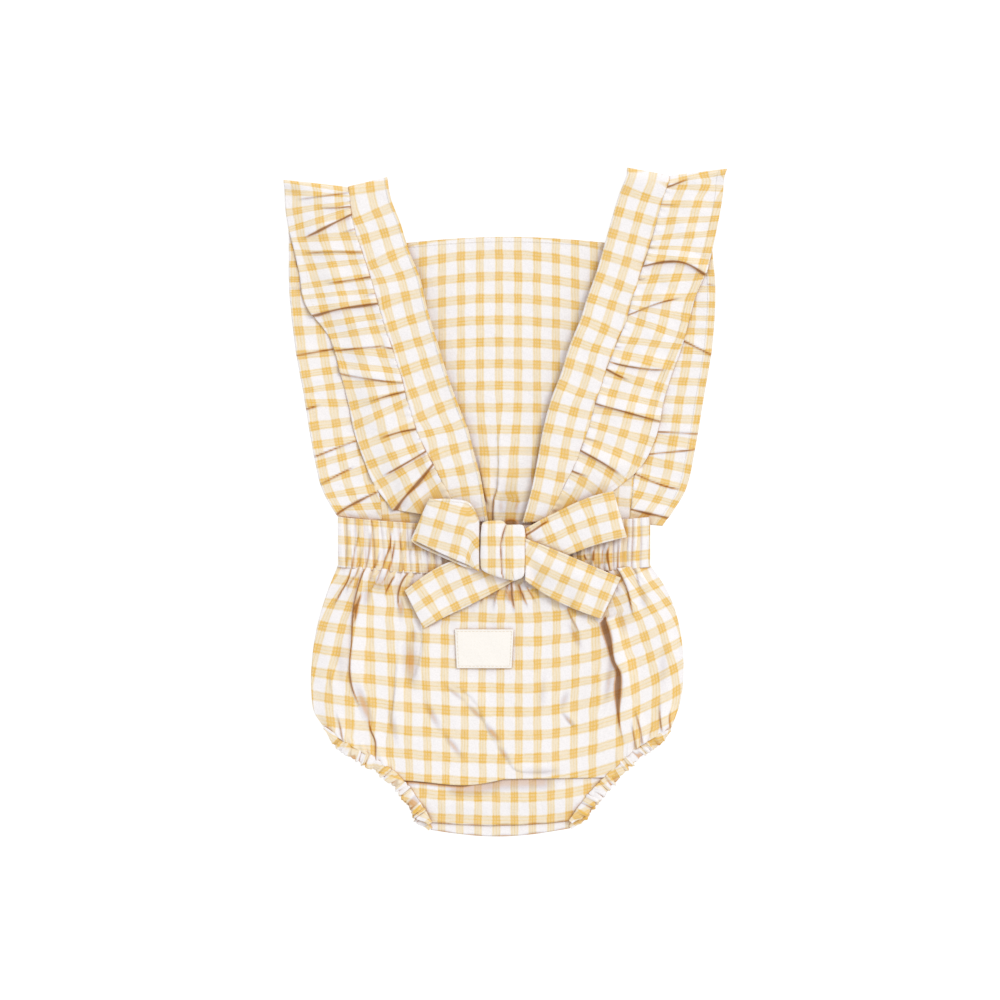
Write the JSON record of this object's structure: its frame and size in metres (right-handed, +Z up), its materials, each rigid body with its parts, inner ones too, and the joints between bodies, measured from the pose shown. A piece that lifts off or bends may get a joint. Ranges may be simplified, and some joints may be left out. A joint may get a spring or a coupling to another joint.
{
  "type": "baby romper",
  "caption": "Baby romper with ruffled crossing straps, a tied bow at the elasticated back waist and puffed bloomers, laid flat with its back side up.",
  "frame": {"origin": "centre of the underside of the garment's bounding box, on the surface it lies on", "axes": "+X to the right as seen from above, +Y up the garment from crotch to shoulders, +Z up from the surface, out of the garment's back side"},
  "size_m": [0.2807, 0.4229, 0.0162],
  "materials": {
    "gingham_cotton": "soft crinkled cotton woven in mustard and white checks",
    "label_cloth": "cream woven tape, bare"
  },
  "bodies": {
    "root": {"bib": "gingham_cotton", "strap_left": "gingham_cotton", "strap_right": "gingham_cotton", "ruffle_left": "gingham_cotton", "ruffle_right": "gingham_cotton", "waistband_front": "gingham_cotton", "waistband_back": "gingham_cotton", "bloomer_front": "gingham_cotton", "bloomer_back": "gingham_cotton", "leg_casing_left_front": "gingham_cotton", "leg_casing_left_back": "gingham_cotton", "leg_casing_right_front": "gingham_cotton", "leg_casing_right_back": "gingham_cotton", "crotch_front": "gingham_cotton", "crotch_back": "gingham_cotton", "bow_loop_left": "gingham_cotton", "bow_loop_right": "gingham_cotton", "bow_tail_left": "gingham_cotton", "bow_tail_right": "gingham_cotton", "bow_knot": "gingham_cotton", "label": "label_cloth"}
  },
  "joints": []
}
